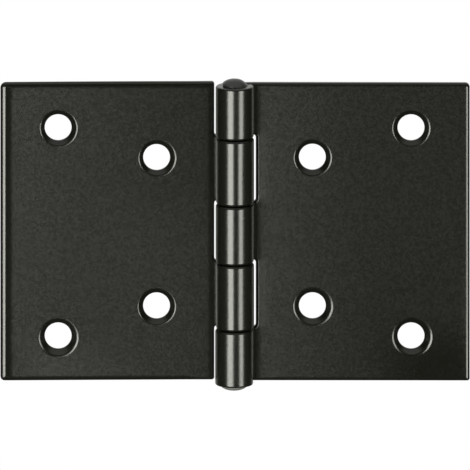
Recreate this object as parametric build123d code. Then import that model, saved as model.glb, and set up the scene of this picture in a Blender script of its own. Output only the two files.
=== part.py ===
from build123d import *

import os
from math import asin, degrees, radians, tan

# A broad butt hinge of rolled sheet steel, lying open flat.
# The pin stands along Z with its middle at the origin. The leaves reach out along +X and -X,
# their countersunk fronts face -Y and their flat backs lie in one plane behind the barrel.

# Leaves, in millimetres
leaf_height = 80.0              # along the pin
leaf_reach = 61.6               # pin axis to a leaf's outer edge
sheet_thickness = 2.0
front_edge_round = 0.8          # rolled-over edges on the countersunk face
back_edge_round = 0.5           # edges on the back
corner_land = 0.4               # a corner's radius over its front edge round

# Barrel
bore_diameter = 6.0
pin_clearance = 0.05            # radial, between pin and bore
notch_clearance = 0.45          # barrel to the edge of the leaf it turns past
middle_knuckle_length = 15.6
paired_knuckle_length = 17.45   # each knuckle of the two-knuckle leaf
knuckle_gap = 0.3               # along the pin, between neighbours
knuckle_shift = 0.35            # joints between the knuckles, above the leaf's middle
seam_gap = 0.3                  # end of the roll to its own leaf's front
knuckle_bevel = 0.5             # edges outside the knuckles

# Pin heads
head_overhang = 0.2             # head radius over the bore's
head_wall = 0.8                 # side of the head, up to the crown's edge
crown_rise = 1.2                # crown over its edge
shoulder_round = 0.7            # between side and crown

# Screw holes, countersunk from the front
inner_hole_reach = 20.45        # pin axis to the inner pair
inner_hole_spacing = 40.0
outer_hole_reach = 46.3         # pin axis to the outer pair
outer_hole_spacing = 56.0
screw_hole_diameter = 7.2
countersink_angle = 90.0        # full angle of the cone
countersink_land = 0.7          # straight wall left under the cone
countersink_rim_bevel = 0.3

# Sizes that follow from these
bore_radius = bore_diameter / 2
barrel_radius = bore_radius + sheet_thickness
barrel_top = leaf_height / 2
notch_edge = barrel_radius + notch_clearance
corner_radius = front_edge_round + corner_land
pin_radius = bore_radius - pin_clearance
head_radius = bore_radius + head_overhang
screw_hole_radius = screw_hole_diameter / 2
countersink_depth = sheet_thickness - countersink_land
countersink_slope = tan(radians(countersink_angle / 2))

# Knuckle ends along the pin, up and down from the middle of the middle knuckle
middle_end = middle_knuckle_length / 2
paired_start = middle_end + knuckle_gap
paired_end = paired_start + paired_knuckle_length
outer_start = paired_end + knuckle_gap

three_knuckle_spans = [
    (knuckle_shift + outer_start, barrel_top),
    (knuckle_shift - middle_end, knuckle_shift + middle_end),
    (-barrel_top, knuckle_shift - outer_start),
]
two_knuckle_spans = [
    (knuckle_shift + paired_start, knuckle_shift + paired_end),
    (knuckle_shift - paired_end, knuckle_shift - paired_start),
]


def blank(spans):
    # The flat sheet before rolling: the leaf, with a tongue up to the pin's plane for each knuckle.
    width = leaf_reach - notch_edge
    sheet = Pos(notch_edge + width / 2, 0) * Rectangle(width, leaf_height)
    for low, high in spans:
        sheet += Pos(notch_edge / 2, (low + high) / 2) * Rectangle(notch_edge, high - low)
    corners = sheet.vertices().filter_by(
        lambda v: v.X > notch_edge - 0.001 and abs(v.Y) > barrel_top - 0.001
    )
    return fillet(corners, corner_radius)


def outline_edges(face):
    # A face's outer border, without the tongue ends that the knuckles grow from.
    return face.outer_wire().edges().filter_by(lambda edge: edge.center().X > 0.001)


def flat_leaf(spans):
    # The blank given its thickness behind the pin, with its edges rounded.
    back_plane = Plane.XZ.offset(-barrel_radius)
    leaf = extrude(back_plane * blank(spans), sheet_thickness)
    leaf = fillet(outline_edges(leaf.faces().sort_by(Axis.Y)[0]), front_edge_round)
    return fillet(outline_edges(leaf.faces().sort_by(Axis.Y)[-1]), back_edge_round)


def screw_hole():
    # A straight hole that opens into a cone, along +Z from the leaf's back, running past both faces.
    overrun = sheet_thickness
    cone_height = countersink_depth + overrun
    cone_radius = screw_hole_radius + cone_height * countersink_slope
    from_base = (Align.CENTER, Align.CENTER, Align.MIN)
    hole = Pos(0, 0, -overrun) * Cylinder(screw_hole_radius, sheet_thickness + overrun, align=from_base)
    return hole + Pos(0, 0, countersink_land) * Cone(screw_hole_radius, cone_radius, cone_height, align=from_base)


def drilled(leaf):
    # Two pairs of countersunk holes, the inner pair closer together than the outer.
    for reach, spacing in ((inner_hole_reach, inner_hole_spacing), (outer_hole_reach, outer_hole_spacing)):
        for side in (-1, 1):
            place = (reach, barrel_radius, side * spacing / 2)
            leaf -= Plane(origin=place, x_dir=(1, 0, 0), z_dir=(0, -1, 0)) * screw_hole()
    front = leaf.faces().filter_by(Plane.XZ).sort_by(Axis.Y)[0]
    rims = ShapeList(edge for wire in front.inner_wires() for edge in wire.edges())
    return chamfer(rims, countersink_rim_bevel)


def knuckle(low, high):
    # The tongue rolled round the pin: from the leaf's back, by the far side and the front of the barrel,
    # to an end that stops just short of the leaf's front face.
    seam_angle = degrees(asin((bore_radius - seam_gap) / barrel_radius))
    turn = 270 + seam_angle
    outside = CenterArc((0, 0), barrel_radius, 90, turn)
    inside = CenterArc((0, 0), bore_radius, 90, turn)
    section = make_face([outside, Line(outside @ 1, inside @ 1), inside, Line(inside @ 0, outside @ 0)])
    roll = extrude(Plane.XY.offset(low) * section, high - low)
    barrel_face = roll.faces().filter_by(GeomType.CYLINDER).sort_by(lambda face: face.radius)[-1]
    free_edges = barrel_face.edges().filter_by(lambda edge: abs(edge.center().X) > 0.001)
    return chamfer(free_edges, knuckle_bevel)


def leaf_with_knuckles(spans):
    leaf = drilled(flat_leaf(spans))
    for low, high in spans:
        leaf += knuckle(low, high)
    return leaf


def hinge_pin():
    # Half the pin's profile, turned about its axis: the shank, and at each end of the barrel a head with a
    # straight side, a round shoulder and a low domed crown.
    rim = barrel_top + head_wall
    crown = rim + crown_rise
    level = (1, 0)
    side = Polyline(
        (head_radius, -rim),
        (head_radius, -barrel_top),
        (pin_radius, -barrel_top),
        (pin_radius, barrel_top),
        (head_radius, barrel_top),
        (head_radius, rim),
    )
    upper_crown = TangentArc((0, crown), (head_radius, rim), tangent=level)
    lower_crown = TangentArc((0, -crown), (head_radius, -rim), tangent=level)
    profile = make_face([lower_crown, side, upper_crown, Line((0, crown), (0, -crown))])
    shoulders = profile.vertices().filter_by(lambda v: abs(abs(v.Y) - rim) < 0.001)
    return revolve(Plane.XZ * fillet(shoulders, shoulder_round), Axis.Z)


os.makedirs("parts", exist_ok=True)
pieces = {
    "three_knuckle_leaf": leaf_with_knuckles(three_knuckle_spans),
    "two_knuckle_leaf": mirror(leaf_with_knuckles(two_knuckle_spans), Plane.YZ),
    "hinge_pin": hinge_pin(),
}
for name, piece in pieces.items():
    export_step(piece, f"parts/{name}.step")
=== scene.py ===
import math

import bpy
import numpy as np
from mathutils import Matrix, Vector
from mathutils.geometry import delaunay_2d_cdt


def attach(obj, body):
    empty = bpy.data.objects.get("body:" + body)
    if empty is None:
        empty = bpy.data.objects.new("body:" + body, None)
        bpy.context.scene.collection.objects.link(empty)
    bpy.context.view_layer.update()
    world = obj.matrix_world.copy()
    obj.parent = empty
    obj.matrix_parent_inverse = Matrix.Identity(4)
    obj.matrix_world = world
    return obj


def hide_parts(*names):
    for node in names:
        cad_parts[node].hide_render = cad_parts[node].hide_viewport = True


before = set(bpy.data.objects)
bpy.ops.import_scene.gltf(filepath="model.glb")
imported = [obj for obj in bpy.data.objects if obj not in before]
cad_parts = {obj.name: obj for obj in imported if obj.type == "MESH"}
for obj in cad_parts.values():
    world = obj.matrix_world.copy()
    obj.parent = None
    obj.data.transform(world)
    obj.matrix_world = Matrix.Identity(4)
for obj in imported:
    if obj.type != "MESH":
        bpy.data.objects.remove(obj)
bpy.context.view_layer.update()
mm = 0.001

scene = bpy.context.scene
scene.view_settings.view_transform = "Standard"

# Camera: a little above the hinge, with no perspective, because the photographed edges stay parallel
shot = {
    "elevation": 12.7,              # degrees
    "distance": 1.0,                # m
    "frameWidth": 0.12337,          # m across the picture
    "target": (0.0, 0.0, -0.00014),
    "clipEnd": 50.0,                # m
}


def placeCamera():
    # stands on a sphere about the target and looks at its centre
    camera = bpy.data.objects.new("camera", bpy.data.cameras.new("camera"))
    scene.collection.objects.link(camera)
    tilt = math.radians(shot["elevation"])
    back = Vector((0.0, -math.cos(tilt), math.sin(tilt)))
    camera.location = Vector(shot["target"]) + back * shot["distance"]
    camera.rotation_euler = (-back).to_track_quat("-Z", "Y").to_euler()
    camera.data.type = "ORTHO"
    camera.data.ortho_scale = shot["frameWidth"]
    camera.data.clip_end = shot["clipEnd"]
    camera.data.dof.use_dof = False
    scene.camera = camera


placeCamera()
print("camera placed")

# Sheet that both leaves are cut from, in mm. A point of the flat blank has u, out from the pin, z, along the
# pin, and n, its height over the blank's back. Past u = 0 the blank is rolled round the pin.
sheet = {
    "thickness": 2.0,
    "reach": 61.6,                  # pin axis to the outer edge
    "top": 40.0,
    "bottom": -40.0,
    "barrelRadius": 5.0,            # outside of a knuckle
    "neutralRadius": 4.0,           # where the rolled sheet keeps its length
    "rollTurn": 302.7,              # degrees from the leaf's back to the end of the roll
    "notchRadius": 0.7,             # inner corner where a tongue leaves the leaf
    "tongueRoot": 4.7,              # u where a tongue's own run begins
    "leastCorner": 0.12,            # radius that a corner keeps on the face, inside its rolled-over edge
    "rollCorner": 0.85,             # corners of a tongue's end
    "rollOuterRound": 0.7,          # edges on the outside of a knuckle
    "barrelEndRound": 0.5,          # the same at the barrel's two ends
    "rollBoreRound": 0.15,          # edges round the bore
    "outlineStep": 2.5,             # between points on the straight edges
    "cornerSteps": 13,
    "smallSteps": 7,                # corners of the notches and the tongues
    "rootSteps": 9,
    "rollSteps": 96,
    "frontSteps": 9,
    "backSteps": 7,
}
sheet["rollLength"] = math.radians(sheet["rollTurn"]) * sheet["neutralRadius"]

# Where one form of the blank gives way to another: values at which that starts and ends
blend = {
    "leafSkew": (1.0, 5.0),         # u, from the barrel's skew to the leaf's
    "skewHeight": (30.0, 37.0),     # z off the middle, from no skew to all of it
    "notchEdge": (14.0, 6.5),       # u, from the leaf's front round to the one beside the barrel
    "rollEdge": (3.0, -1.5),        # u, from the leaf's rounds to a knuckle's
    "barrelEnd": (37.0, 39.0),      # z off the middle, to the rounds at the barrel's ends
    "topRound": (7.0, 10.0),        # u, to the back round along the top
    "topFacing": (0.5, 1.0),        # the outline's facing along z, to the same
    "knuckleSlide": (5.0, 1.0),     # u, from the leaf to a knuckle off the axis
    "tongueMargin": 0.4,            # z past a tongue's edges that still goes with its knuckle
    "tipRise": (0.03, 0.2),         # radians from a knuckle's front, where it goes out of round
    "tipFall": (0.9, 0.5),          # and where it is round again
}

# Screw holes, the same in both leaves but for their places and countersinks
screwHole = {
    "radius": 3.52,
    "land": 0.7,                    # straight wall under the cone
    "throatRound": 0.25,            # between cone and wall
    "backRound": 0.2,
    "around": 128,
    "rimSteps": 10,
    "smallSteps": 6,
}

# The leaves' own sizes, in mm, and angles, in degrees
threeKnuckleLeaf = {
    "name": "threeKnuckleLeaf",
    "node": "three_knuckle_leaf",
    "body": "fixed_leaf",
    "side": 1,
    "notchEdge": 5.45,              # pin axis to the edge between the tongues
    "tongues": [(26.12, 40.0), (-7.53, 8.23), (-40.0, -25.42)],
    "tongueShift": (-0.08, -0.08, -0.22),   # each knuckle off the axis, along u
    # angles by which each knuckle's normals are out of round, before and after its front
    "knuckleTip": [(-1.7, -0.9), (-1.0, 0.0), (-0.3, -1.6)],
    "holes": [(20.3, 19.93), (20.3, -20.06), (46.2, 27.85), (46.2, -28.18)],
    # each hole's countersink: its front off the hole along u and z, its extra depth, and its rim's round
    "sinks": [(0.08, 0.0, -0.08, 1.0), (0.16, -0.05, 0.03, 1.4),
              (0.07, 0.0, -0.08, 1.0), (0.32, -0.1, 0.05, 1.5)],
    # how far an edge stands off its line: at the leaf's outer and inner end, on the barrel, and more as a bow
    # between the two ends
    "topSkew": (-0.01, 0.07, 0.0, 0.0),
    "bottomSkew": (-0.09, -0.03, -0.3, 0.0),
    "corners": (0.65, 1.2),         # lower and upper outer corner
    "frontWidth": 1.17,             # rolled-over front edge, across the face
    "frontDepth": 0.7,              # and into the thickness
    "notchWidth": 0.9,              # the same edge beside the barrel
    "notchDepth": 0.75,
    "backRound": 0.6,
    "topBackRound": 0.6,            # the same along the top
    # how far the face leans to the barrel at its outer and inner end, and back at its lower outer corner and
    # over its lower inner half
    "lean": (-0.15, 1.6, 3.0, 0.0),
    "edgeTip": (-3.0, 1.9, 1.2),    # more lean at the outer edge, easing in between these distances from it
    "rootTip": (-3.0, 1.1),         # more lean beside the barrel, at the tongues and between them
}
twoKnuckleLeaf = {
    "name": "twoKnuckleLeaf",
    "node": "two_knuckle_leaf",
    "body": "swinging_leaf",
    "side": -1,
    "notchEdge": 5.42,
    "tongues": [(8.37, 25.98), (-25.28, -7.67)],
    "tongueShift": (0.0, 0.0),
    "knuckleTip": [(-1.6, 1.6), (-0.6, 2.6)],
    "holes": [(20.58, 19.85), (20.6, -20.08), (46.43, 27.88), (46.42, -28.18)],
    "sinks": [(-0.15, 0.0, -0.12, 1.0), (-0.03, -0.05, -0.02, 0.8),
              (-0.1, 0.0, -0.1, 0.9), (-0.02, -0.28, 0.05, 1.3)],
    "topSkew": (0.13, 0.38, 0.0, 0.055),
    "bottomSkew": (-0.14, 0.16, 0.0, 0.0),
    "corners": (1.2, 1.55),
    "innerCorner": 0.72,            # at the top and bottom of the edge beside the barrel
    "frontWidth": 1.48,
    "frontDepth": 0.95,
    "notchWidth": 0.7,
    "notchDepth": 0.9,
    "backRound": 0.7,
    "topBackRound": 1.0,
    "lean": (0.85, 1.6, 0.0, 1.2),
    "edgeTip": (4.0, 3.4, 1.9),
    "rootTip": (0.0, 0.0),
}


def smooth(low, high, value):
    # eases from 0 at low to 1 at high
    share = np.clip((value - low) / (high - low), 0.0, 1.0)
    return share * share * (3.0 - 2.0 * share)


def mixed(first, second, share):
    # the first value, moved towards the second by this share of the way
    return first + (second - first) * share


def gridQuads(rows, columns, flip=False):
    # quads of a grid numbered row by row, whose last row joins its first
    row = np.arange(rows)[:, None]
    column = np.arange(columns - 1)[None, :]
    here = row * columns + column
    there = (row + 1) % rows * columns + column
    order = [here, there, there + 1, here + 1]
    return np.stack(order[::-1] if flip else order, axis=-1).reshape(-1, 4)


def makePiece(name, points, faces, normals=None):
    # one closed mesh from points in mm, shaded smooth, with its formulas' own normals where they are given
    mesh = bpy.data.meshes.new(name)
    mesh.from_pydata((points * mm).tolist(), [], faces)
    mesh.polygons.foreach_set("use_smooth", np.ones(len(mesh.polygons), dtype=bool))
    if normals is not None:
        mesh.normals_split_custom_set_from_vertices(normals)
    mesh.update()
    piece = bpy.data.objects.new(name, mesh)
    scene.collection.objects.link(piece)
    return piece


def lineRun(start, end, shares):
    # points at these shares of a straight way, facing to the right of it
    start, end = np.array(start, dtype=float), np.array(end, dtype=float)
    way = (end - start) / np.linalg.norm(end - start)
    facing = np.tile([way[1], -way[0]], (len(shares), 1))
    return np.hstack([start + np.outer(shares, end - start), facing])


def arcRun(centre, radius, startAngle, endAngle, steps, facing=1):
    # points on an arc, facing away from its centre (1) or towards it (-1)
    angle = np.radians(np.linspace(startAngle, endAngle, steps))
    ray = np.column_stack([np.cos(angle), np.sin(angle)])
    return np.hstack([np.array(centre) + radius * ray, facing * ray])


def innerShares(length):
    # even shares of a run about one outline step apart, both ends left out
    return np.linspace(0.0, 1.0, max(int(length / sheet["outlineStep"]), 1) + 1)[1:-1]


def tongueRun(low, high):
    # out along a tongue's upper edge, round its end and back along the lower edge, with the same u values
    corner, end, root = sheet["rollCorner"], -sheet["rollLength"], sheet["tongueRoot"]
    few = sheet["smallSteps"]
    flatPart = np.linspace(root, 0.0, sheet["rootSteps"])[:-1]
    rolledPart = np.linspace(0.0, end + corner, sheet["rollSteps"])[:-1]
    u = np.concatenate([flatPart, rolledPart])
    shares = (root - u) / (root - end - corner)
    upper = lineRun((root, high), (end + corner, high), shares)
    lower = lineRun((end + corner, low), (root, low), 1.0 - shares[::-1])
    upperCorner = arcRun((end + corner, high - corner), corner, 90, 180, few)
    lowerCorner = arcRun((end + corner, low + corner), corner, 180, 270, few)
    return np.vstack([upper, upperCorner, lowerCorner, lower])


def skewed(path, leaf):
    # moves the upper and lower edge along z: evenly from the leaf's outer to its inner end, with a parabola
    # for the bow between them, and then over to the barrel
    share = np.clip((sheet["reach"] - path[:, 0]) / (sheet["reach"] - leaf["notchEdge"]), 0.0, 1.0)
    onLeaf = smooth(*blend["leafSkew"], path[:, 0])
    for (outer, inner, barrel, bow), sign in ((leaf["topSkew"], 1), (leaf["bottomSkew"], -1)):
        edge = mixed(outer, inner, share) + 4.0 * bow * share * (1.0 - share)
        shift = edge * onLeaf + barrel * (1.0 - onLeaf)
        path[:, 1] += shift * smooth(*blend["skewHeight"], sign * path[:, 1])
    return path


def blankPath(leaf):
    # the blank's outline anticlockwise from its lower outer corner: rows of u, z and the outward facing, then
    # for each tongue the first and last row of its run, and for each outer corner its rows, radius and signs
    top, bottom, reach, edge = sheet["top"], sheet["bottom"], sheet["reach"], leaf["notchEdge"]
    notch, root = sheet["notchRadius"], sheet["tongueRoot"]
    many, few = sheet["cornerSteps"], sheet["smallSteps"]
    lower, upper = leaf["corners"]
    runs = [
        arcRun((reach - lower, bottom + lower), lower, -90, 0, many),
        lineRun((reach, bottom + lower), (reach, top - upper), innerShares(top - bottom)),
        arcRun((reach - upper, top - upper), upper, 0, 90, many),
    ]
    rise = len(runs[0]) + len(runs[1])
    corners = [(slice(0, many), lower, (1, -1)), (slice(rise, rise + many), upper, (1, 1))]
    rails = []
    level = top
    if leaf["tongues"][0][1] == top:
        runs.append(lineRun((reach - upper, top), (root, top), innerShares(reach)))
    else:
        inner = leaf["innerCorner"]
        runs.append(lineRun((reach - upper, top), (edge + inner, top), innerShares(reach)))
        runs.append(arcRun((edge + inner, top - inner), inner, 90, 180, many))
        level = top - inner
    for low, high in leaf["tongues"]:
        if high < top:
            runs.append(lineRun((edge, level), (edge, high + notch), innerShares(level - high)))
            runs.append(arcRun((edge - notch, high + notch), notch, 0, -90, few, -1)[:-1])
        tongue = tongueRun(low, high)
        first = sum(len(run) for run in runs)
        rails.append((first, first + len(tongue) - 1))
        runs.append(tongue)
        if low > bottom:
            runs.append(arcRun((edge - notch, low - notch), notch, 90, 0, few, -1)[1:])
        level = low - notch
    if leaf["tongues"][-1][0] == bottom:
        runs.append(lineRun((root, bottom), (reach - lower, bottom), innerShares(reach)))
    else:
        inner = leaf["innerCorner"]
        runs.append(lineRun((edge, level), (edge, bottom + inner), innerShares(level - bottom)))
        runs.append(arcRun((edge + inner, bottom + inner), inner, 180, 270, many))
        runs.append(lineRun((edge + inner, bottom), (reach - lower, bottom), innerShares(reach)))
    return skewed(np.vstack(runs), leaf), rails, corners


def edgeBand(path, corners, leaf):
    # edge profile carried along the outline: an elliptic round off the front, the wall, and a round into the
    # back; the rounds ease over to those of the notches, the top and the knuckles, and the outer corners keep
    # a least radius where they are inset
    u, z, outU, outZ = path[:, :1], path[:, 1:2], path[:, 2:3], path[:, 3:4]
    atNotch, rolled = smooth(*blend["notchEdge"], u), smooth(*blend["rollEdge"], u)
    width = mixed(mixed(leaf["frontWidth"], leaf["notchWidth"], atNotch), sheet["rollBoreRound"], rolled)
    depth = mixed(mixed(leaf["frontDepth"], leaf["notchDepth"], atNotch), sheet["rollBoreRound"], rolled)
    atEnd = smooth(*blend["barrelEnd"], np.abs(z))
    rollRound = mixed(sheet["rollOuterRound"], sheet["barrelEndRound"], atEnd)
    atTop = smooth(*blend["topFacing"], outZ) * smooth(*blend["topRound"], u)
    back = mixed(mixed(leaf["backRound"], leaf["topBackRound"], atTop), rollRound, rolled)
    turn = np.linspace(0.0, math.pi / 2, sheet["frontSteps"])[None, :]
    front = [width * (1.0 - np.sin(turn)), sheet["thickness"] - depth * (1.0 - np.cos(turn)),
             np.sin(turn) / width, np.cos(turn) / depth]
    turn = np.linspace(0.0, math.pi / 2, sheet["backSteps"])[None, :]
    rear = [back * (1.0 - np.cos(turn)), back * (1.0 - np.sin(turn)),
            np.cos(turn) + 0.0 * back, -np.sin(turn) + 0.0 * back]
    inset, height, out, up = (np.hstack(pair) for pair in zip(front, rear))
    across, along = u - inset * outU, z - inset * outZ
    for rows, radius, signs in corners:
        spare = np.maximum(sheet["leastCorner"] - (radius - inset[rows]), 0.0)
        across[rows] += spare * (outU[rows] - signs[0])
        along[rows] += spare * (outZ[rows] - signs[1])
    places = np.stack([across, along, height], axis=-1)
    facings = np.stack([out * outU, out * outZ, up], axis=-1)
    return places, facings


def holeProfile(land, rim):
    # half a section of a countersunk hole from front to back: rim round, cone at 45 degrees, throat round,
    # wall and back round, as rows of radius, height and the facing in both
    thickness, radius, few = sheet["thickness"], screwHole["radius"], screwHole["smallSteps"]
    throat, back = screwHole["throatRound"], screwHole["backRound"]
    halfTurn = math.tan(math.pi / 8)
    turn = np.linspace(0.0, math.pi / 4, screwHole["rimSteps"])
    rimCentre = radius + thickness - land + rim * halfTurn
    rimArc = np.column_stack([
        rimCentre - rim * np.sin(turn), thickness - rim + rim * np.cos(turn), -np.sin(turn), np.cos(turn)])
    turn = np.linspace(math.pi / 4, math.pi / 2, few)
    throatArc = np.column_stack([
        radius + throat - throat * np.sin(turn), land - throat * halfTurn + throat * np.cos(turn),
        -np.sin(turn), np.cos(turn)])
    turn = np.linspace(0.0, math.pi / 2, few)
    backArc = np.column_stack([
        radius + back - back * np.cos(turn), back - back * np.sin(turn), -np.cos(turn), -np.sin(turn)])
    return np.vstack([rimArc, throatArc, backArc])


def holeWall(centre, sink):
    # a hole's profile turned about its centre, which moves off evenly from the cone's foot to the front
    slideU, slideZ, deeper, rim = sink
    land = screwHole["land"] - deeper
    angle = np.linspace(0.0, 2 * math.pi, screwHole["around"], endpoint=False)[:, None]
    radius, height, out, up = holeProfile(land, rim).T[:, None, :]
    share = np.clip((height - land) / (sheet["thickness"] - land), 0.0, 1.0)
    places = np.stack([
        centre[0] + slideU * share + radius * np.cos(angle),
        centre[1] + slideZ * share + radius * np.sin(angle),
        height + 0.0 * angle], axis=-1)
    facings = np.stack([out * np.cos(angle), out * np.sin(angle), up + 0.0 * angle], axis=-1)
    return places, facings


# Points on the front face that carry its leans, in mm: a wide grid, and closer rows towards both its ends
faceGrid = {
    "across": (10.0, 57.0),         # u
    "outerRows": [57.7, 58.5, 59.2, 59.8],
    "along": (-36.0, 36.1),         # z
    "step": 4.0,
    "innerRows": [7.0, 7.7, 8.6],
    "innerAlong": (-37.0, 37.1),
    "tongueRows": [5.4, 6.1],
    "tongueAlong": (-38.5, 38.5),
    "tongueMargins": (1.4, 1.3),    # from a tongue's lower and upper edge
    "closeStep": 1.0,
    "holeMargin": 6.5,              # from a hole's centre
}


def innerPoints(leaf):
    # the grids' points, without those near a hole
    step, closeStep = faceGrid["step"], faceGrid["closeStep"]
    wide = np.concatenate([np.arange(*faceGrid["across"], step), faceGrid["outerRows"]])
    grids = [
        (wide, np.arange(*faceGrid["along"], step)),
        (faceGrid["innerRows"], np.arange(*faceGrid["innerAlong"], closeStep)),
    ]
    bottom, top = faceGrid["tongueAlong"]
    below, above = faceGrid["tongueMargins"]
    for low, high in leaf["tongues"]:
        along = np.arange(max(low, bottom) + below, min(high, top) - above, closeStep)
        grids.append((faceGrid["tongueRows"], along))
    u, z = np.hstack([np.array(np.meshgrid(*grid)).reshape(2, -1) for grid in grids])
    points = np.column_stack([u, z, np.full(u.size, sheet["thickness"])])
    away = np.min([np.hypot(u - holeU, z - holeZ) for holeU, holeZ in leaf["holes"]], axis=0)
    return points[away > faceGrid["holeMargin"]]


# Stretches of the front face over which its leans ease in, in mm along u and z
faceLean = {
    "across": (40.0, 5.0),          # u, from the lean at the outer end to the one at the inner end
    "cornerAcross": (25.0, 58.0),   # u and z, to the lower outer corner
    "cornerDown": (5.0, -38.0),
    "innerAcross": (45.0, 12.0),    # u and z, to the lower inner half
    "innerDown": (22.0, -8.0),
    "footAcross": (58.0, 50.0),     # u and z, to a band along the foot
    "footDown": (-22.0, -36.0),
    "footShare": 0.8,               # of the inner half's turn, in that band
    "tongueAcross": (7.0, 5.6),     # u, to the roots of the tongues
    "tongueEase": 0.6,              # to both sides of a tongue's edge, along z
    "notchAcross": (9.5, 7.0),      # u, to the edge between the tongues
    "start": 3.0,                   # u
    "flat": 0.9999,                 # least facing along n of a point on the face
}


def leanFace(places, facings, leaf):
    # tips the front face's normals towards the barrel, by angles that change slowly over the leaf, and faster
    # in the faint hollows along its outer edge and beside the barrel; its lower outer corner, its lower inner
    # half and a band along its foot turn back
    outer, inner, corner, low = np.radians(leaf["lean"])
    u, z = places[:, 0], places[:, 1]
    lean = mixed(outer, inner, smooth(*faceLean["across"], u))
    lean -= corner * smooth(*faceLean["cornerAcross"], u) * smooth(*faceLean["cornerDown"], z)
    inside = smooth(*faceLean["innerAcross"], u) * smooth(*faceLean["innerDown"], z)
    foot = faceLean["footShare"] * smooth(*faceLean["footAcross"], u) * smooth(*faceLean["footDown"], z)
    lean -= low * np.maximum(inside, foot)
    tip, far, near = leaf["edgeTip"]
    lean += np.radians(tip) * smooth(far, near, sheet["reach"] - u)
    ease = faceLean["tongueEase"]
    atTongue = sum(smooth(a - ease, a + ease, z) * smooth(b + ease, b - ease, z) for a, b in leaf["tongues"])
    rootTip, notchTip = np.radians(leaf["rootTip"])
    atRoot = rootTip * atTongue * smooth(*faceLean["tongueAcross"], u)
    atNotch = notchTip * (1.0 - atTongue) * smooth(*faceLean["notchAcross"], u)
    lean += atRoot + atNotch
    front = (facings[:, 2] > faceLean["flat"]) & (u > faceLean["start"])
    facings[:, 0] -= np.where(front, np.tan(lean), 0.0)
    return facings


def flatFill(loops, loose, places):
    # triangles of a flat face between its outer loop and its holes, with loose points inside it, anticlockwise
    # in u and z; loops and loose points hold vertex numbers, and a triangle with all its corners on one hole
    # lies in that hole and is left out
    numbers = np.concatenate(loops + [loose])
    owner = np.zeros(len(numbers), dtype=int)
    starts = np.cumsum([0] + [len(loop) for loop in loops])
    links = []
    for loop, (first, end) in enumerate(zip(starts[:-1], starts[1:])):
        ring = np.arange(first, end)
        owner[ring] = loop
        links += np.column_stack([ring, np.roll(ring, -1)]).tolist()
    flat = [Vector(place) for place in places[numbers, :2].tolist()]
    insideOnly, tolerance = 1, 1e-6
    found = delaunay_2d_cdt(flat, links, [], insideOnly, tolerance)
    source = np.array([origin[0] for origin in found[3]])
    triangles = source[np.array(found[2])]
    inHole = (owner[triangles] == owner[triangles[:, :1]]).all(axis=1) & (owner[triangles[:, 0]] > 0)
    triangles = triangles[~inHole]
    a, b, c = (places[numbers[triangles[:, k]], :2] for k in range(3))
    turn = (b[:, 0] - a[:, 0]) * (c[:, 1] - a[:, 1]) - (b[:, 1] - a[:, 1]) * (c[:, 0] - a[:, 0])
    triangles = np.where((turn < 0)[:, None], triangles[:, ::-1], triangles)
    return numbers[triangles]


def rollUp(places, facings, leaf):
    # lays the blank in space: flat behind the pin for u above 0, and below it round the pin by an angle of -u
    # over the neutral radius; a facing along u shortens as the sheet stretches, a knuckle off the axis slides
    # along u while its front keeps facing as before, and a knuckle out of round turns its normals a little
    u, z, n = places.T
    out, along, up = facings.T
    angle = np.maximum(-u, 0.0) / sheet["neutralRadius"]
    radius = sheet["barrelRadius"] - n
    stretch = np.where(u < 0.0, radius / sheet["neutralRadius"], 1.0)
    pastFront = angle - math.pi
    slide, tip = np.zeros(len(u)), np.zeros(len(u))
    for (low, high), shift, tips in zip(leaf["tongues"], leaf["tongueShift"], leaf["knuckleTip"]):
        onTongue = np.abs(z - (low + high) / 2) < (high - low) / 2 + blend["tongueMargin"]
        slide += shift * smooth(*blend["knuckleSlide"], u) * onTongue
        for degrees, way in zip(tips, (-1, 1)):
            rise = smooth(*blend["tipRise"], way * pastFront)
            fall = smooth(*blend["tipFall"], way * pastFront)
            tip += np.radians(degrees) * rise * fall * onTongue
    x = np.maximum(u, 0.0) - radius * np.sin(angle) + slide
    y = radius * np.cos(angle)
    turn = angle + tip + slide / sheet["barrelRadius"] * np.maximum(-np.cos(angle), 0.0)
    facing = np.column_stack([
        out / stretch * np.cos(turn) + up * np.sin(turn),
        out / stretch * np.sin(turn) - up * np.cos(turn),
        along])
    facing /= np.linalg.norm(facing, axis=1, keepdims=True)
    mirror = np.array([leaf["side"], 1, 1])
    return np.column_stack([x, y, z]) * mirror, facing * mirror


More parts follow.
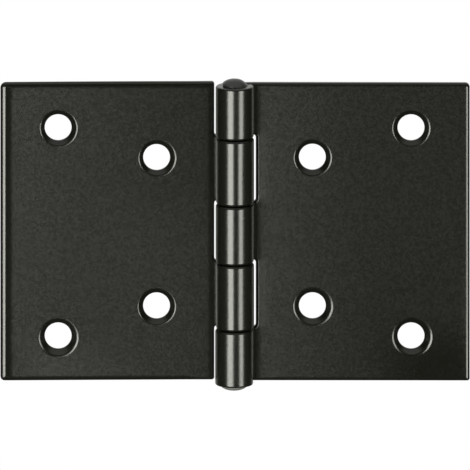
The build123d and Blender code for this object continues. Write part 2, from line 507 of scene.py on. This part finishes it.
def makeLeaf(leaf):
    # edge band, holes, both faces and the rolled tongues, joined at shared vertices
    path, rails, corners = blankPath(leaf)
    bandPlaces, bandFacings = edgeBand(path, corners, leaf)
    rows, columns = bandPlaces.shape[:2]
    walls = [holeWall(place, sink) for place, sink in zip(leaf["holes"], leaf["sinks"])]
    around, deep = walls[0][0].shape[:2]
    inside = innerPoints(leaf)
    insideFacings = np.tile([0.0, 0.0, 1.0], (len(inside), 1))
    wallPlaces, wallFacings = (np.concatenate(part).reshape(-1, 3) for part in zip(*walls))
    places = np.vstack([bandPlaces.reshape(-1, 3), wallPlaces, inside])
    facings = np.vstack([bandFacings.reshape(-1, 3), wallFacings, insideFacings])
    facings /= np.linalg.norm(facings, axis=1, keepdims=True)
    facings = leanFace(places, facings, leaf)
    starts = rows * columns + np.arange(len(walls)) * around * deep
    quads = [gridQuads(rows, columns, flip=True)] + [gridQuads(around, deep) + start for start in starts]
    triangles = []
    plate = np.ones(rows, dtype=bool)
    for first, last in rails:
        plate[first + 1:last] = False
    loose = np.arange(len(places) - len(inside), len(places))
    for column, ring, turned, extra in ((0, 0, False, loose), (columns - 1, deep - 1, True, loose[:0])):
        outline = np.arange(rows)[plate] * columns + column
        circles = [start + np.arange(around) * deep + ring for start in starts]
        face = flatFill([outline] + circles, extra, places)
        triangles.append(face[:, ::-1] if turned else face)
        for first, last in rails:
            upper = np.arange(first, (first + last) // 2 + 1) * columns + column
            lower = np.arange(last, (first + last) // 2, -1) * columns + column
            strip = np.column_stack([upper[:-1], upper[1:], lower[1:], lower[:-1]])
            quads.append(strip[:, ::-1] if turned else strip)
    quads, triangles = np.vstack(quads), np.vstack(triangles)
    points, normals = rollUp(places, facings, leaf)
    if leaf["side"] < 0:
        quads, triangles = quads[:, ::-1], triangles[:, ::-1]
    piece = makePiece(leaf["name"], points, quads.tolist() + triangles.tolist(), normals)
    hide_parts(leaf["node"])
    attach(piece, leaf["body"])
    print(leaf["name"], len(points), "points,", 2 * len(quads) + len(triangles), "triangles")
    return piece


leafPieces = [makeLeaf(threeKnuckleLeaf), makeLeaf(twoKnuckleLeaf)]

# Riveted pin, in mm
hingePin = {
    "radius": 2.95,
    "barrelEnd": 40.0,
    "headRadius": 3.3,
    "headWall": 0.4,
    "headHeight": 1.75,
    "headPower": 2.5,               # the crown falls off with this power of the radius
    "headTip": 0.4,                 # how far the crown's rim tips
    "headShift": (0.1, 0.25),       # crown's middle off the axis, to the right and back
    "footRadius": 4.1,
    "footWall": 0.1,
    "footHeight": 1.76,
    "footPower": 3.0,
    "footTip": 0.0,
    "footShift": (-0.28, 0.0),
    "tipWay": (-0.9, 0.4),          # a tipped rim rises to the left and the back
    "rimInset": 0.1,                # crown's underside within its rim
    "around": 96,
    "crownSteps": 20,
}


def pinEnd(end):
    # one end of the pin as a grid, angle by ring: the shank, the crown's underside and its rings from the rim
    # to the last before the middle; the crown's height falls by a power of the radius, and its rim tips
    radius, wall, height = hingePin[end + "Radius"], hingePin[end + "Wall"], hingePin[end + "Height"]
    tip, shift, power = hingePin[end + "Tip"], hingePin[end + "Shift"], hingePin[end + "Power"]
    turn = np.linspace(0.0, math.pi / 2, hingePin["crownSteps"])[:-1]
    share = np.cos(turn)
    reach = np.concatenate([[hingePin["radius"], radius - hingePin["rimInset"]], radius * share])
    crown = np.concatenate([[0.0, 0.0], wall + (height - wall) * (1.0 - share ** power)])
    loose = np.concatenate([[0.0, 0.0], share])
    angle = np.linspace(0.0, 2 * math.pi, hingePin["around"], endpoint=False)[:, None]
    x, y = reach * np.cos(angle), reach * np.sin(angle)
    wayX, wayY = hingePin["tipWay"]
    z = hingePin["barrelEnd"] + crown + tip * loose * (wayY * y + wayX * x) / radius
    off = np.where(crown > 0.0, 1.0, 0.0)
    return np.stack([x + shift[0] * off, y + shift[1] * off, z], axis=-1)


def makePin():
    # foot, shank and head as one grid turned about the axis, closed by a fan at each crown's middle
    head, foot = pinEnd("head"), pinEnd("foot")
    grid = np.concatenate([foot[:, ::-1] * [1, 1, -1], head], axis=1)
    rows, columns = grid.shape[:2]
    end = hingePin["barrelEnd"]
    poles = np.array([[*hingePin["footShift"], -end - hingePin["footHeight"]],
                      [*hingePin["headShift"], end + hingePin["headHeight"]]])
    points = np.vstack([grid.reshape(-1, 3), poles])
    quads = gridQuads(rows, columns)
    here = np.arange(rows) * columns
    there = np.roll(here, -1)
    lowFan = np.column_stack([there, here, np.full(rows, rows * columns)])
    highFan = np.column_stack([here + columns - 1, there + columns - 1, np.full(rows, rows * columns + 1)])
    piece = makePiece("hingePin", points, quads.tolist() + lowFan.tolist() + highFan.tolist())
    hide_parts("hinge_pin")
    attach(piece, "fixed_leaf")
    print("hingePin", len(points), "points")
    return piece


pinPiece = makePin()


def newMaterial(name):
    material = bpy.data.materials.new(name)
    material.use_nodes = True
    material.node_tree.nodes.clear()
    return material


def addNode(tree, kind, **values):
    # a node with its properties set, and its inputs where a name is an input's
    node = tree.nodes.new(kind)
    for name, value in values.items():
        if name in node.inputs:
            node.inputs[name].default_value = value
        else:
            setattr(node, name, value)
    return node


def newGroup(name, inputs, outputs):
    # an empty node group with these sockets, each named with its kind, and its entry and exit
    group = bpy.data.node_groups.new(name, "ShaderNodeTree")
    for way, sockets in (("INPUT", inputs), ("OUTPUT", outputs)):
        for socket, kind in sockets.items():
            group.interface.new_socket(socket, in_out=way, socket_type="NodeSocket" + kind)
    return group, addNode(group, "NodeGroupInput").outputs, addNode(group, "NodeGroupOutput").inputs


def feed(tree, source, socket):
    # joins an input to another node's output, or sets it to a plain value
    if isinstance(source, bpy.types.NodeSocket):
        tree.links.new(source, socket)
    else:
        socket.default_value = source


def mathOf(tree, operation, *sources, clamp=False):
    node = addNode(tree, "ShaderNodeMath", operation=operation, use_clamp=clamp)
    for source, socket in zip(sources, node.inputs):
        feed(tree, source, socket)
    return node.outputs["Value"]


def mixOf(tree, kind, share, first, second):
    node = addNode(tree, "ShaderNodeMix", data_type=kind)
    for name, source in (("Factor", share), ("A", first), ("B", second)):
        feed(tree, source, node.inputs[name])
    return node.outputs["Result"]


def rangeOf(tree, source, span, reach=(0.0, 1.0), easing="SMOOTHSTEP"):
    # carries a value from one span over to another
    node = addNode(tree, "ShaderNodeMapRange", interpolation_type=easing)
    node.inputs["From Min"].default_value, node.inputs["From Max"].default_value = span
    node.inputs["To Min"].default_value, node.inputs["To Max"].default_value = reach
    tree.links.new(source, node.inputs["Value"])
    return node.outputs["Result"]


def axesOf(tree, source):
    node = addNode(tree, "ShaderNodeSeparateXYZ")
    tree.links.new(source, node.inputs["Vector"])
    return node.outputs


# Grain of the coat: speckle in the colour, and a bumpy surface like a fine orange peel
grain = {
    "fineDetail": 2.0,
    "fineRoughness": 0.6,
    "peelDetail": 1.0,
    "peelRoughness": 0.5,
    "fineShare": 0.35,              # of the fine noise in the height
    "span": (0.3, 0.7),             # of the noise values in use
}


def grainGroup():
    inputs = {"Vector": "Vector", "Fine Scale": "Float", "Peel Scale": "Float"}
    outputs = {"Speckle": "Float", "Peel": "Float", "Height": "Float"}
    group, entry, leave = newGroup("coatGrain", inputs, outputs)
    noises = {}
    for kind in ("fine", "peel"):
        noise = addNode(group, "ShaderNodeTexNoise",
                        Detail=grain[kind + "Detail"], Roughness=grain[kind + "Roughness"])
        group.links.new(entry["Vector"], noise.inputs["Vector"])
        group.links.new(entry[kind.title() + " Scale"], noise.inputs["Scale"])
        noises[kind] = noise.outputs["Fac"]
    height = mathOf(group, "MULTIPLY_ADD", noises["fine"], grain["fineShare"], noises["peel"])
    group.links.new(noises["fine"], leave["Speckle"])
    group.links.new(noises["peel"], leave["Peel"])
    group.links.new(height, leave["Height"])
    return group


coatGrain = grainGroup()

# Where the coat has run smoother, in m: beside the left leaf's outer and inner edge, along its top, and over
# the right leaf's lower outer corner
smoothCoat = {
    "outer": (-0.0581, -0.0593),    # x, from the grain to the smooth band, and out of it again
    "outerEnd": (-0.06, -0.0604),
    "inner": (-0.0074, -0.0062),
    "innerEnd": (-0.0056, -0.0052),
    "top": (0.0384, 0.0392),        # z, above which the band along the top lies
    "cornerAlong": (0.034, 0.052),
    "cornerDown": (-0.02, -0.036),
}


def smoothGroup():
    # the share of smoothness: the largest of the four places' masks, each eased along x and z
    group, entry, leave = newGroup("coatSmooth", {"Vector": "Vector"}, {"Share": "Float"})
    axes = axesOf(group, entry["Vector"])
    masks = {name: rangeOf(group, axes["X"], smoothCoat[name])
             for name in ("outer", "outerEnd", "inner", "innerEnd", "cornerAlong")}
    masks.update({name: rangeOf(group, axes["Z"], smoothCoat[name]) for name in ("top", "cornerDown")})
    leftLeaf = rangeOf(group, axes["X"], smoothCoat["innerEnd"][::-1])
    outer = mathOf(group, "SUBTRACT", masks["outer"], masks["outerEnd"])
    inner = mathOf(group, "SUBTRACT", masks["inner"], masks["innerEnd"])
    top = mathOf(group, "MULTIPLY", masks["top"], leftLeaf)
    corner = mathOf(group, "MULTIPLY", masks["cornerAlong"], masks["cornerDown"])
    edges = mathOf(group, "MAXIMUM", mathOf(group, "MAXIMUM", outer, inner), top)
    group.links.new(mathOf(group, "MAXIMUM", edges, corner), leave["Share"])
    return group


coatSmooth = smoothGroup()

leafCoat = {
    "darkColor": (0.0026, 0.0027, 0.0018, 1.0),
    "lightColor": (0.0052, 0.0054, 0.0036, 1.0),
    "roughness": (0.215, 0.265),
    "smoothShare": 0.32,            # by which the roughness falls where the coat has run smoother
    "ior": 1.55,
    "fineScale": 2800.0,            # per metre
    "peelScale": 1450.0,
    "bump": 0.05,
    "bumpDistance": 0.0001,         # m
}
pinCoat = {
    "darkColor": (0.022, 0.022, 0.022, 1.0),
    "lightColor": (0.045, 0.045, 0.045, 1.0),
    "roughness": (0.3, 0.38),
    "ior": 1.5,
    "fineScale": 1900.0,
    "peelScale": 700.0,
    "bump": 0.1,
    "bumpDistance": 0.0001,
    # a lighter colour for the pin's foot: painted light, as if lit from the pale surface below
    "paintedFootLight": (0.13, 0.13, 0.125, 1.0),
    "footLevel": -0.04,             # m, below which the foot gets a lighter colour: painted light from below
}


def coatMaterial(name, coat):
    # grain in the colour, the roughness and the bump of one glossy surface
    material = newMaterial(name)
    tree = material.node_tree
    place = addNode(tree, "ShaderNodeTexCoord").outputs["Object"]
    noise = addNode(tree, "ShaderNodeGroup", node_tree=coatGrain)
    noise.inputs["Fine Scale"].default_value = coat["fineScale"]
    noise.inputs["Peel Scale"].default_value = coat["peelScale"]
    tree.links.new(place, noise.inputs["Vector"])
    speckle = addNode(tree, "ShaderNodeValToRGB")
    dark, light = speckle.color_ramp.elements
    dark.position, light.position = grain["span"]
    dark.color, light.color = coat["darkColor"], coat["lightColor"]
    tree.links.new(noise.outputs["Speckle"], speckle.inputs["Fac"])
    color = speckle.outputs["Color"]
    # below the foot level the colour turns lighter: painted light on the underside of the pin
    if "paintedFootLight" in coat:
        atFoot = mathOf(tree, "LESS_THAN", axesOf(tree, place)["Z"], coat["footLevel"])
        color = mixOf(tree, "RGBA", atFoot, color, coat["paintedFootLight"])
    rough = rangeOf(tree, noise.outputs["Peel"], grain["span"], coat["roughness"], "LINEAR")
    if "smoothShare" in coat:
        smoother = addNode(tree, "ShaderNodeGroup", node_tree=coatSmooth)
        tree.links.new(place, smoother.inputs["Vector"])
        left = mathOf(tree, "MULTIPLY_ADD", smoother.outputs["Share"], -coat["smoothShare"], 1.0)
        rough = mathOf(tree, "MULTIPLY", rough, left)
    bump = addNode(tree, "ShaderNodeBump", Strength=coat["bump"], Distance=coat["bumpDistance"])
    tree.links.new(noise.outputs["Height"], bump.inputs["Height"])
    surface = addNode(tree, "ShaderNodeBsdfPrincipled", IOR=coat["ior"])
    tree.links.new(color, surface.inputs["Base Color"])
    tree.links.new(rough, surface.inputs["Roughness"])
    tree.links.new(bump.outputs["Normal"], surface.inputs["Normal"])
    tree.links.new(surface.outputs["BSDF"], addNode(tree, "ShaderNodeOutputMaterial").inputs["Surface"])
    return material


leafMaterial = coatMaterial("leafCoat", leafCoat)
for piece in leafPieces:
    piece.data.materials.append(leafMaterial)
pinPiece.data.materials.append(coatMaterial("pinCoat", pinCoat))
print("materials made")

# Stage: pale floor below, two tall softboxes in front, the left one wider, and a dim room round them
floor = {
    "level": -0.32,                 # m
    "reach": 0.6,                   # m, from the middle to its sides
    "color": (0.8, 0.8, 0.8, 1.0),
    "glossColor": (0.06, 0.06, 0.06, 1.0),  # as the coat's gloss sees it
    "liftStart": 0.25,              # m from the middle, where it begins to be lifted to white
    "lift": (0.6, 0.98),
    "shine": 0.03,                  # share of the lift that the coat's gloss sees
}
softboxes = {
    "leftSoftbox": {
        "azimuth": -29.0, "spread": 17.0, "distance": 0.7, "height": 0.38, "level": -0.1, "radiance": 8.8},
    "rightSoftbox": {
        "azimuth": 36.5, "spread": 11.5, "distance": 0.7, "height": 0.38, "level": -0.1, "radiance": 7.3},
}
lampTint = (0.985, 1.0, 0.91)
room = {
    "ambient": 0.12,                # for matt surfaces
    "dark": 0.09,                   # for gloss
    "front": 0.045,                 # for gloss, straight before the hinge
    "frontSpan": (-0.75, -1.0),     # y of a direction, from the one to the other
    "behind": 0.75,
    "behindSpan": (0.4, 0.9),       # y and z, to the glow behind the hinge
    "horizonSpan": (-0.45, -0.25),
    "overhead": 0.6,
    "overheadSpan": (0.55, 0.9),    # z, to the glow overhead
    "tint": (0.96, 1.0, 0.8, 1.0),
    "white": (1.0, 1.0, 1.0, 1.0),
}


def makeFloor():
    # one flat sheet that takes the hinge's shadow; the camera sees it lifted to white towards its rim, and
    # the coat's gloss sees it far dimmer
    wide, level = floor["reach"], floor["level"]
    corners = [(-wide, -wide, level), (wide, -wide, level), (wide, wide, level), (-wide, wide, level)]
    mesh = bpy.data.meshes.new("floor")
    mesh.from_pydata(corners, [], [(0, 1, 2, 3)])
    piece = bpy.data.objects.new("floor", mesh)
    scene.collection.objects.link(piece)
    material = newMaterial("floorPaper")
    tree = material.node_tree
    ray = addNode(tree, "ShaderNodeLightPath").outputs
    paper = addNode(tree, "ShaderNodeBsdfDiffuse")
    shade = mixOf(tree, "RGBA", ray["Is Glossy Ray"], floor["color"], floor["glossColor"])
    tree.links.new(shade, paper.inputs["Color"])
    reach = addNode(tree, "ShaderNodeVectorMath", operation="LENGTH")
    tree.links.new(addNode(tree, "ShaderNodeTexCoord").outputs["Object"], reach.inputs[0])
    lift = rangeOf(tree, reach.outputs["Value"], (floor["liftStart"], wide), floor["lift"])
    plain = mathOf(tree, "MAXIMUM", ray["Is Camera Ray"], ray["Is Transmission Ray"])
    seen = mathOf(tree, "MULTIPLY_ADD", ray["Is Glossy Ray"], floor["shine"], plain)
    glow = addNode(tree, "ShaderNodeEmission")
    tree.links.new(mathOf(tree, "MULTIPLY", seen, lift), glow.inputs["Strength"])
    both = addNode(tree, "ShaderNodeAddShader")
    tree.links.new(paper.outputs["BSDF"], both.inputs[0])
    tree.links.new(glow.outputs["Emission"], both.inputs[1])
    tree.links.new(both.outputs["Shader"], addNode(tree, "ShaderNodeOutputMaterial").inputs["Surface"])
    piece.data.materials.append(material)


def makeSoftbox(name, box):
    # a flat panel of light that faces the pin from this azimuth and covers the spread to both sides; its power
    # is four times its radiance times its area
    lamp = bpy.data.lights.new(name, "AREA")
    lamp.shape = "RECTANGLE"
    lamp.size = 2 * box["distance"] * math.tan(math.radians(box["spread"]))
    lamp.size_y = box["height"]
    lamp.energy = box["radiance"] * 4 * lamp.size * lamp.size_y
    lamp.color = lampTint
    piece = bpy.data.objects.new(name, lamp)
    turn = math.radians(box["azimuth"])
    away = Vector((math.sin(turn), -math.cos(turn), 0.0))
    piece.location = away * box["distance"] + Vector((0.0, 0.0, box["level"]))
    piece.rotation_euler = (-away).to_track_quat("-Z", "Y").to_euler()
    piece.visible_camera = False
    scene.collection.objects.link(piece)


def makeRoom():
    # white to the camera, a low even grey for matt surfaces, and for gloss a dim room, dimmest straight before
    # the hinge, with a glow overhead and one behind the hinge that reaches a little below the horizon
    world = bpy.data.worlds.new("studio")
    scene.world = world
    world.use_nodes = True
    tree = world.node_tree
    tree.nodes.clear()
    ray = addNode(tree, "ShaderNodeLightPath").outputs
    axes = axesOf(tree, addNode(tree, "ShaderNodeTexCoord").outputs["Generated"])
    front = rangeOf(tree, axes["Y"], room["frontSpan"], (room["dark"], room["front"]))
    behind = rangeOf(tree, axes["Y"], room["behindSpan"])
    above = rangeOf(tree, axes["Z"], room["horizonSpan"], (0.0, room["behind"]))
    overhead = rangeOf(tree, axes["Z"], room["overheadSpan"], (0.0, room["overhead"]))
    glow = mathOf(tree, "MULTIPLY_ADD", behind, above, overhead)
    around = mathOf(tree, "ADD", glow, front)
    glossy = mathOf(tree, "MAXIMUM", ray["Is Glossy Ray"], ray["Is Transmission Ray"])
    shine = mixOf(tree, "FLOAT", glossy, room["ambient"], around)
    pale = mathOf(tree, "MAXIMUM", glow, ray["Is Camera Ray"], clamp=True)
    sky = addNode(tree, "ShaderNodeBackground")
    tree.links.new(mixOf(tree, "RGBA", pale, room["tint"], room["white"]), sky.inputs["Color"])
    tree.links.new(mathOf(tree, "MAXIMUM", shine, ray["Is Camera Ray"]), sky.inputs["Strength"])
    tree.links.new(sky.outputs["Background"], addNode(tree, "ShaderNodeOutputWorld").inputs["Surface"])


makeFloor()
for name, box in softboxes.items():
    makeSoftbox(name, box)
makeRoom()
print("stage lit")
